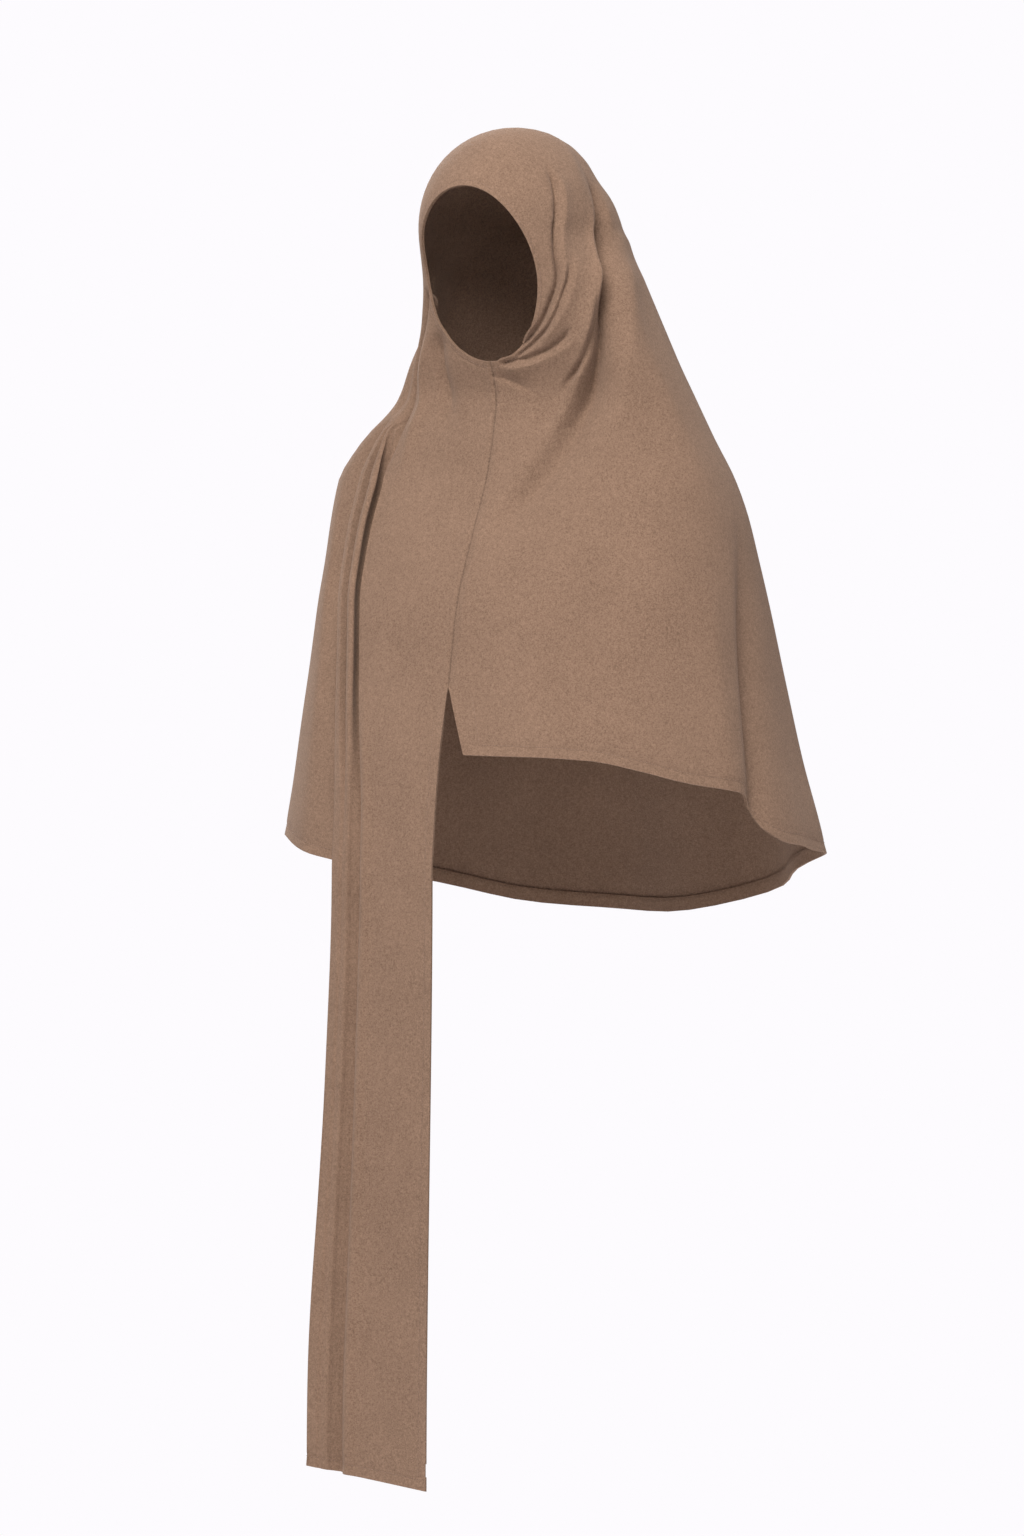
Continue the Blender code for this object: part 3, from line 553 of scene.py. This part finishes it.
cape, TURN, LENGTH = cape_grid()
open_slit(cape)
panel = panel_grid(cape[-1])
ROWS = HEM_ROW + len(panel)
POINTS = np.full((ROWS + 1, LAST + 1, 3), np.nan)
POINTS[: HEM_ROW + 1] = cape
POINTS[HEM_ROW + 1 :, : EDGE + 1] = panel
NORMALS = np.full_like(POINTS, np.nan)
NORMALS[: HEM_ROW + 1] = normals_of(cape, SLIT_ROW)
lower = POINTS[HEM_ROW - 1 :, : EDGE + 1]
out = np.cross(np.gradient(lower, axis=1), np.gradient(lower, axis=0))
out /= np.linalg.norm(out, axis=2, keepdims=True)
NORMALS[HEM_ROW + 1 :, : EDGE + 1] = out[2:]
NORMALS[HEM_ROW, :EDGE] = out[1, :EDGE]
print("grid points:", np.isfinite(POINTS[..., 0]).sum())

# %% [markdown]
# Where the cloth turns in at a hem, its edge stands a little proud and the stitches pull a shallow line
# into it. The centre-front seam is a fine groove with small puckers. Both need the distance of every point
# from the nearest edge and from the seam, measured over the cloth. Soft unevenness goes over all of it.

# %% Edges, seam and unevenness
STITCH_IN, SEAM_WIDTH = 0.0105, 0.0016


def ways(points, axis):
    step = np.linalg.norm(np.diff(points, axis=axis), axis=2)
    pad = [(0, 0), (0, 0)]
    pad[axis] = (1, 0)
    return np.pad(np.cumsum(step, axis=axis), pad)


FAR = 9.0
down_way = ways(POINTS, 0)
along_way = ways(POINTS, 1)
to_face = np.nan_to_num(down_way, nan=FAR)
to_edge = np.full(POINTS.shape[:2], FAR)
to_edge[: HEM_ROW + 1, EDGE:] = (down_way[HEM_ROW] - down_way)[: HEM_ROW + 1, EDGE:]
to_edge[:, : EDGE + 1] = np.minimum(to_edge[:, : EDGE + 1], (down_way[ROWS] - down_way)[:, : EDGE + 1])
below_slit = np.arange(ROWS + 1)[:, None] > SLIT_ROW
to_edge = np.where(below_slit, np.fmin(to_edge, along_way), to_edge)
to_left = along_way[:, -1:] - along_way
to_edge = np.where(below_slit, np.fmin(to_edge, np.nan_to_num(to_left, nan=FAR)), to_edge)
outer_way = along_way[:, EDGE : EDGE + 1] - along_way
panel_row = np.arange(ROWS + 1)[:, None] > HEM_ROW
to_edge = np.where(panel_row, np.fmin(to_edge, np.nan_to_num(outer_way, nan=FAR)), to_edge)
to_seam = np.where(below_slit, FAR, np.fmin(along_way, np.nan_to_num(to_left, nan=FAR)))


def unevenness(points, normals):
    """Slow waves of jersey, longer down the cloth than across it."""
    total = np.zeros(points.shape[:2])
    waves = ((21, 4, 9, 0.4, 0.7), (33, -14, 12, 1.9, 0.5), (55, 27, 17, 3.1, 0.3), (83, -40, 31, 5.0, 0.18))
    for wx, wy, wz, phase, size in waves:
        bend = 1.7 * np.sin(7 * points[..., 2] + phase) + 1.1 * np.sin(11 * points[..., 0] - phase)
        total += size * MM * np.sin(wx * points[..., 0] + wy * points[..., 1] + wz * points[..., 2] + bend)
    return total * 0.5


pucker = 0.22 * MM * np.sin(2 * math.pi * down_way / 0.009)
shift = unevenness(POINTS, NORMALS) * smooth_step(np.minimum(to_edge, to_face) / 0.02)
shift += np.exp(-((to_seam / SEAM_WIDTH) ** 2)) * (-0.9 * MM + np.nan_to_num(pucker))
shift += 0.35 * MM * np.exp(-(((to_seam - 0.0045) / 0.0025) ** 2))
hem_pucker = 0.18 * MM * np.sin(2 * math.pi * along_way / 0.0085)
shift += np.exp(-(((to_edge - STITCH_IN) / 0.0022) ** 2)) * (-0.5 * MM + np.nan_to_num(hem_pucker))
shift += 0.5 * MM * np.exp(-((to_edge / 0.004) ** 2))
shift += -0.35 * MM * np.exp(-(((to_face - 0.006) / 0.0018) ** 2))
POINTS = POINTS + NORMALS * shift[..., None]
POINTS[: SLIT_ROW + 1, -1] = POINTS[: SLIT_ROW + 1, 0]

# %% [markdown]
# The knit has to follow the cloth, so each point gets a place on the flat pattern: round the body from the
# back centre, and down from the crown. The wall is then made from the grid with its real thickness, so the
# edges show that they are cloth.

# %% Walls of cloth
U = np.zeros(POINTS.shape[:2])
V = np.zeros(POINTS.shape[:2])
levels = np.linspace(0.005, LENGTH.max(), 80)
turns = np.linspace(-2 * math.pi, 0, 361)
lines = surface(turns[None, :] + 0 * levels[:, None], levels[:, None] + 0 * turns[None, :])
round_way = ways(lines, 1)
round_way -= round_way[:, 180:181]
row_at = np.clip((LENGTH - levels[0]) / (levels[1] - levels[0]), 0, len(levels) - 1.001)
col_at = np.clip((TURN + 2 * math.pi) / (turns[1] - turns[0]), 0, len(turns) - 1.001)
ri, ci = row_at.astype(int), col_at.astype(int)
rf, cf = row_at - ri, col_at - ci
U[: HEM_ROW + 1] = (
    round_way[ri, ci] * (1 - rf) * (1 - cf)
    + round_way[ri + 1, ci] * rf * (1 - cf)
    + round_way[ri, ci + 1] * (1 - rf) * cf
    + round_way[ri + 1, ci + 1] * rf * cf
)
V[: HEM_ROW + 1] = LENGTH
U[HEM_ROW + 1 :] = U[HEM_ROW]
V[HEM_ROW + 1 :, : EDGE + 1] = V[HEM_ROW, : EDGE + 1] + (down_way[HEM_ROW + 1 :] - down_way[HEM_ROW])[:, : EDGE + 1]


def shell(name, rows, columns, near, far):
    """A closed wall of cloth between two depths under the grid, over a block of its cells."""
    block = np.ix_(rows, columns)
    points, normals = POINTS[block], NORMALS[block]
    there = np.isfinite(points[..., 0])
    number = np.full(there.shape, -1)
    number[there] = np.arange(there.sum())
    if columns[0] == 0 and columns[-1] == LAST:
        seam = np.asarray(rows) <= SLIT_ROW
        number[seam, -1] = number[seam, 0]
    used = there.sum()
    flat_p, flat_n = points[there], normals[there]
    verts = np.concatenate([flat_p - flat_n * near, flat_p - flat_n * far])
    quads = np.stack([number[:-1, :-1], number[:-1, 1:], number[1:, 1:], number[1:, :-1]], axis=-1).reshape(-1, 4)
    quads = quads[(quads >= 0).all(axis=1)]
    heads = np.concatenate([quads[:, [k, (k + 1) % 4]] for k in range(4)])
    code, back = heads[:, 0] * used + heads[:, 1], heads[:, 1] * used + heads[:, 0]
    rim = heads[~np.isin(code, back)]
    rims = np.stack([rim[:, 1], rim[:, 0], rim[:, 0] + used, rim[:, 1] + used], axis=-1)
    faces = np.concatenate([quads, quads[:, ::-1] + used, rims])
    data = bpy.data.meshes.new(name)
    data.from_pydata(verts.tolist(), [], faces.tolist())
    u, v = U[block][there], V[block][there]
    uv = data.uv_layers.new(name="cloth")
    corner = np.empty(len(data.loops), int)
    data.loops.foreach_get("vertex_index", corner)
    corner %= used
    uv.data.foreach_set("uv", np.stack([u[corner], v[corner]], axis=-1).ravel())
    for label, values in (("to_edge", to_edge), ("to_seam", to_seam), ("to_face", to_face)):
        attribute = data.attributes.new(label, "FLOAT", "POINT")
        attribute.data.foreach_set("value", np.tile(np.minimum(np.nan_to_num(values[block][there], nan=FAR), FAR), 2))
    obj = bpy.data.objects.new(name, data)
    bpy.context.collection.objects.link(obj)
    mesh = bmesh.new()
    mesh.from_mesh(data)
    loose = [v for v in mesh.verts if not v.link_faces]
    bmesh.ops.delete(mesh, geom=loose, context="VERTS")
    mesh.to_mesh(data)
    mesh.free()
    data.shade_smooth()
    data.set_sharp_from_angle(angle=math.radians(60))
    print(name, "faces:", len(data.polygons))
    return obj


veil = shell("veil_cloth", list(range(ROWS + 1)), list(range(LAST + 1)), 0.0, WALL)
near, far = WALL + CLEARANCE, WALL + CLEARANCE + HEM_WALL
everything = list(range(LAST + 1))
face_hem = shell("face_hem_cloth", list(range(HEM_STEPS + 1)), everything, near, far)
cape_hem = shell("cape_hem_cloth", list(range(HEM_ROW - HEM_STEPS, HEM_ROW + 1)), everything[EDGE:], near, far)
panel_hem = shell("panel_hem_cloth", list(range(ROWS - HEM_STEPS, ROWS + 1)), everything[: EDGE + 1], near, far)
slit_long = shell("slit_hem_long_cloth", list(range(SLIT_ROW + 4, ROWS - HEM_STEPS)), everything[:6], near, far)
slit_short = shell("slit_hem_short_cloth", list(range(SLIT_ROW + 4, HEM_ROW - HEM_STEPS)), everything[-6:], near, far)
edge_hem = shell("edge_hem_cloth", list(range(HEM_ROW + 1, ROWS - HEM_STEPS)), everything[EDGE - 5 : EDGE + 1], near, far)
hems = {"face_hem": face_hem, "cape_hem": cape_hem, "panel_hem": panel_hem}
hems.update({"slit_hem_long": slit_long, "slit_hem_short": slit_short, "edge_hem": edge_hem})

# %% [markdown]
# A hem on jersey is closed by a row of machine stitches. Each stitch is a short thread that dips into the
# cloth at both ends, so it is made as a small bent bar, and one row of them follows each hem.

# %% Stitches
STITCH_PITCH, STITCH_LENGTH, THREAD = 0.0032, 0.0023, 0.00024


def at_grid(rows, columns):
    """Points and directions between grid places."""
    r, c = np.clip(np.floor(rows).astype(int), 0, ROWS - 1), np.clip(np.floor(columns).astype(int), 0, LAST - 1)
    fr, fc = (rows - r)[:, None], (columns - c)[:, None]

    def mix(grid):
        top = grid[r, c] * (1 - fc) + np.where(fc > 0, grid[r, np.minimum(c + 1, LAST)], grid[r, c]) * fc
        low_row = np.minimum(r + 1, ROWS)
        low = grid[low_row, c] * (1 - fc) + np.where(fc > 0, grid[low_row, np.minimum(c + 1, LAST)], grid[low_row, c]) * fc
        return np.where(fr > 0, top * (1 - fr) + low * fr, top)

    return mix(POINTS), mix(NORMALS)


def stitch_row(verts, faces, rows, columns):
    points, normals = at_grid(np.asarray(rows, float), np.asarray(columns, float))
    ok = np.isfinite(points[:, 0]) & np.isfinite(normals[:, 0])
    points, normals = points[ok], normals[ok]
    way = np.concatenate([[0], np.cumsum(np.linalg.norm(np.diff(points, axis=0), axis=1))])
    places = np.arange(0.5 * STITCH_PITCH, way[-1], STITCH_PITCH)
    middle = np.stack([np.interp(places, way, points[:, k]) for k in range(3)], axis=-1)
    ahead = np.stack([np.interp(places + 0.0004, way, points[:, k]) for k in range(3)], axis=-1) - middle
    up = np.stack([np.interp(places, way, normals[:, k]) for k in range(3)], axis=-1)
    ahead /= np.maximum(np.linalg.norm(ahead, axis=1, keepdims=True), 1e-9)
    up /= np.linalg.norm(up, axis=1, keepdims=True)
    side = np.cross(ahead, up)
    profile = ((-0.5, -0.00035), (-0.25, 0.00022), (0.25, 0.00022), (0.5, -0.00035))
    for m, a, n, s in zip(middle, ahead, up, side):
        first = len(verts)
        for along, height in profile:
            centre = m + a * along * STITCH_LENGTH + n * height
            for ds, dn in ((-1, 0), (0, 1), (1, 0), (0, -1)):
                verts.append(centre + s * ds * THREAD + n * dn * THREAD)
        for k in range(3):
            for q in range(4):
                a0, a1 = first + 4 * k + q, first + 4 * k + (q + 1) % 4
                faces.append((a0, a1, a1 + 4, a0 + 4))
        faces.append((first + 3, first + 2, first + 1, first))
        faces.append((first + 12, first + 13, first + 14, first + 15))


verts, faces = [], []
hem_at = HEM_STEPS * (1 - STITCH_IN / HEM_WIDTH)
columns_all = np.arange(LAST + 1)
stitch_row(verts, faces, np.full(LAST + 1, HEM_STEPS * 0.72), columns_all)
stitch_row(verts, faces, np.full(LAST - EDGE - 4, HEM_ROW - HEM_STEPS + hem_at), np.arange(EDGE, LAST - 4))
stitch_row(verts, faces, np.full(EDGE - 8, ROWS - HEM_STEPS + hem_at), np.arange(4, EDGE - 4))
long_rows = np.arange(SLIT_ROW + 4, ROWS - 3)
stitch_row(verts, faces, long_rows, np.full(len(long_rows), 4.3))
edge_rows = np.arange(HEM_ROW + 2, ROWS - 3)
stitch_row(verts, faces, edge_rows, np.full(len(edge_rows), EDGE - 3.6))
short_rows = np.arange(SLIT_ROW + 4, HEM_ROW - 3)
stitch_row(verts, faces, short_rows, np.full(len(short_rows), LAST - 4.3))
data = bpy.data.meshes.new("hem_stitches")
data.from_pydata([tuple(v) for v in verts], [], faces)
stitches = bpy.data.objects.new("hem_stitches", data)
bpy.context.collection.objects.link(stitches)
mesh = bmesh.new()
mesh.from_mesh(data)
bmesh.ops.recalc_face_normals(mesh, faces=mesh.faces)
mesh.to_mesh(data)
mesh.free()
data.shade_smooth()
print("stitches:", len(faces) // 14)

# %% [markdown]
# The cloth is a matte viscose jersey. Its face shows fine columns of knit, a faint heather of lighter and
# darker fibres, and a soft bloom at grazing angles where the fibres stand up. Along the centre-front seam its
# colour is painted darker, as painted shade in the groove, and the turned-in hems get a darker copy, painted shade.

# %% Materials


def linear(code):
    """An sRGB hex colour as linear values."""
    values = [int(code[k : k + 2], 16) / 255 for k in (1, 3, 5)]
    return (*[v / 12.92 if v <= 0.04045 else ((v + 0.055) / 1.055) ** 2.4 for v in values], 1.0)


def node(tree, kind, inputs=None, **settings):
    made = tree.nodes.new(kind)
    for key, value in settings.items():
        setattr(made, key, value)
    for key, value in (inputs or {}).items():
        if isinstance(value, bpy.types.NodeSocket):
            tree.links.new(value, made.inputs[key])
        else:
            made.inputs[key].default_value = value
    return made


def mix(tree, factor, first, second, blend="MIX"):
    made = node(tree, "ShaderNodeMix", data_type="RGBA", blend_type=blend)
    for place, value in ((0, factor), (6, first), (7, second)):
        if isinstance(value, bpy.types.NodeSocket):
            tree.links.new(value, made.inputs[place])
        else:
            made.inputs[place].default_value = value
    return made.outputs[2]


def bands(tree, place, pitch, way):
    """Ridges with this many metres from one to the next."""
    scale = 2 * math.pi / 20 / pitch
    inputs = {"Vector": place, "Scale": scale, "Distortion": 1.2, "Detail": 1.0, "Detail Scale": 1.5}
    return node(tree, "ShaderNodeTexWave", inputs, wave_type="BANDS", bands_direction=way).outputs["Fac"]


def speckle(tree, place, size, low=0.32, high=0.68):
    """Noise with spots of about this many metres, from 0 to 1."""
    noise = node(tree, "ShaderNodeTexNoise", {"Vector": place, "Scale": 1 / size, "Detail": 3.0, "Roughness": 0.6})
    return node(tree, "ShaderNodeMapRange", {"Value": noise.outputs["Fac"], "From Min": low, "From Max": high}).outputs[0]


def math_node(tree, operation, first, second):
    return node(tree, "ShaderNodeMath", {0: first, 1: second}, operation=operation).outputs[0]


def jersey(name, light, dark):
    material = bpy.data.materials.new(name)
    material.use_nodes = True
    tree = material.node_tree
    shader = tree.nodes["Principled BSDF"]
    place = node(tree, "ShaderNodeTexCoord")
    uv, spot = place.outputs["UV"], place.outputs["Object"]
    fine = speckle(tree, spot, 0.0014)
    heather = speckle(tree, spot, 0.0028)
    cloud = speckle(tree, spot, 0.07)
    near = math_node(tree, "MULTIPLY", fine, 0.5)
    fibres = math_node(tree, "ADD", near, math_node(tree, "MULTIPLY", heather, 0.35))
    share = math_node(tree, "ADD", fibres, math_node(tree, "MULTIPLY", cloud, 0.15))
    colour = mix(tree, share, linear(dark), linear(light))
    # Painted shade: the colour darkens to 0.72 at the seam's middle, for the little light that gets into its groove.
    seam = node(tree, "ShaderNodeAttribute", attribute_name="to_seam").outputs["Fac"]
    reach = {"Value": seam, "From Min": 0.0003, "From Max": 0.0016, "To Min": 0.72, "To Max": 1.0}
    line = node(tree, "ShaderNodeMapRange", reach).outputs[0]
    tree.links.new(mix(tree, 1.0, colour, line, "MULTIPLY"), shader.inputs["Base Color"])
    loops = math_node(tree, "MULTIPLY", bands(tree, uv, 0.0012, "X"), bands(tree, uv, 0.0010, "Y"))
    height = math_node(tree, "ADD", loops, fine)
    bump = node(tree, "ShaderNodeBump", {"Height": height, "Strength": 0.5, "Distance": 0.0004})
    tree.links.new(bump.outputs["Normal"], shader.inputs["Normal"])
    shader.inputs["Roughness"].default_value = 0.92
    shader.inputs["Specular IOR Level"].default_value = 0.18
    shader.inputs["Sheen Weight"].default_value = 0.2
    shader.inputs["Sheen Roughness"].default_value = 0.55
    shader.inputs["Sheen Tint"].default_value = linear("#CDB6A4")
    return material


def give(obj, material):
    obj.data.materials.clear()
    obj.data.materials.append(material)


viscose_jersey = jersey("viscose_jersey", "#886D5A", "#604A3B")
# The turned-in hems are the same jersey, a little darker: painted shade for the inner side they lie on.
turned_jersey_painted_shade = jersey("turned_viscose_jersey_painted_shade", "#846956", "#5C4637")
thread = bpy.data.materials.new("polyester_thread")
thread.use_nodes = True
spun = thread.node_tree
twist = speckle(spun, node(spun, "ShaderNodeTexCoord").outputs["Object"], 0.001)
spun.links.new(mix(spun, twist, linear("#6A5242"), linear("#8E7362")), spun.nodes["Principled BSDF"].inputs["Base Color"])
spun.nodes["Principled BSDF"].inputs["Roughness"].default_value = 0.6

give(veil, viscose_jersey)
# The hems take the darker copy of the jersey, which is painted shade.
for hem in hems.values():
    give(hem, turned_jersey_painted_shade)
give(stitches, thread)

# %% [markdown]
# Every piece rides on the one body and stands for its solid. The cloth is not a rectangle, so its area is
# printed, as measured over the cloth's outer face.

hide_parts("veil")
for name, hem in hems.items():
    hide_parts(name)
for piece in (veil, *hems.values(), stitches):
    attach(piece, "root")


def half_area(obj):
    return sum(p.area for p in obj.data.polygons) / 2


print("veil area:", round(half_area(veil), 3), [(n, round(half_area(h), 4)) for n, h in hems.items()])

# %% [markdown]
# The picture is taken as in a catalogue: a long lens at the wearer's left front, a white background behind,
# one large soft light beside the camera and above it, a smaller one behind, and white all round to fill the folds.

# %% Camera, floor and light
TURN_DEG, DISTANCE, PICTURE = 33.0, 16.0, 1.536
angle = math.radians(TURN_DEG)
away = Vector((math.sin(angle), -math.cos(angle), 0.0))
side = Vector((math.cos(angle), math.sin(angle), 0.0))
camera = bpy.data.objects.new("camera", bpy.data.cameras.new("camera"))
bpy.context.collection.objects.link(camera)
camera.data.sensor_fit = "VERTICAL"
camera.data.sensor_height = 36.0
camera.data.lens = 36.0 * DISTANCE / PICTURE
camera.matrix_world = Matrix.Translation(away * DISTANCE + side * -0.003 + Vector((0, 0, -0.640))) @ (
    Matrix((side, Vector((0, 0, 1)), away)).transposed().to_4x4()
)
bpy.context.scene.camera = camera

FLOOR = -1.65
bpy.ops.object.select_all(action="DESELECT")
bpy.ops.mesh.primitive_plane_add(size=4, location=(0, 0, FLOOR))
floor = bpy.context.object
floor.name = "floor"
paper = bpy.data.materials.new("white_paper")
paper.use_nodes = True
paper.node_tree.nodes["Principled BSDF"].inputs["Base Color"].default_value = linear("#FBFAFC")
paper.node_tree.nodes["Principled BSDF"].inputs["Roughness"].default_value = 0.9
give(floor, paper)

world = bpy.data.worlds.new("studio")
world.use_nodes = True
bpy.context.scene.world = world
SKY_TOP, SKY_LOW = 0.85, 0.25
sky = world.node_tree
ray = node(sky, "ShaderNodeLightPath").outputs["Is Camera Ray"]
height = node(sky, "ShaderNodeSeparateXYZ", {0: node(sky, "ShaderNodeTexCoord").outputs["Generated"]}).outputs["Z"]
reach = {"Value": height, "From Min": -1.0, "From Max": 1.0, "To Min": SKY_LOW, "To Max": SKY_TOP}
glow = node(sky, "ShaderNodeMapRange", reach).outputs[0]
strength = node(sky, "ShaderNodeMath", {0: ray, 1: glow}, operation="MAXIMUM").outputs[0]
sky.links.new(strength, sky.nodes["Background"].inputs["Strength"])
sky.nodes["Background"].inputs["Color"].default_value = linear("#FDFBFE")


def area_light(name, place, size, power, aim=(0, 0, -0.5)):
    lamp = bpy.data.objects.new(name, bpy.data.lights.new(name, "AREA"))
    bpy.context.collection.objects.link(lamp)
    lamp.data.shape = "DISK"
    lamp.data.size = size
    lamp.data.energy = power
    lamp.location = place
    lamp.rotation_euler = (Vector(aim) - Vector(place)).to_track_quat("-Z", "Y").to_euler()


area_light("key", away * 2.4 - side * 0.6 + Vector((0, 0, 2.0)), 2.0, 170)
area_light("back", away * -2.6 - side * 0.7 + Vector((0, 0, 1.0)), 1.0, 45)
scene = bpy.context.scene
scene.view_settings.view_transform = "Standard"
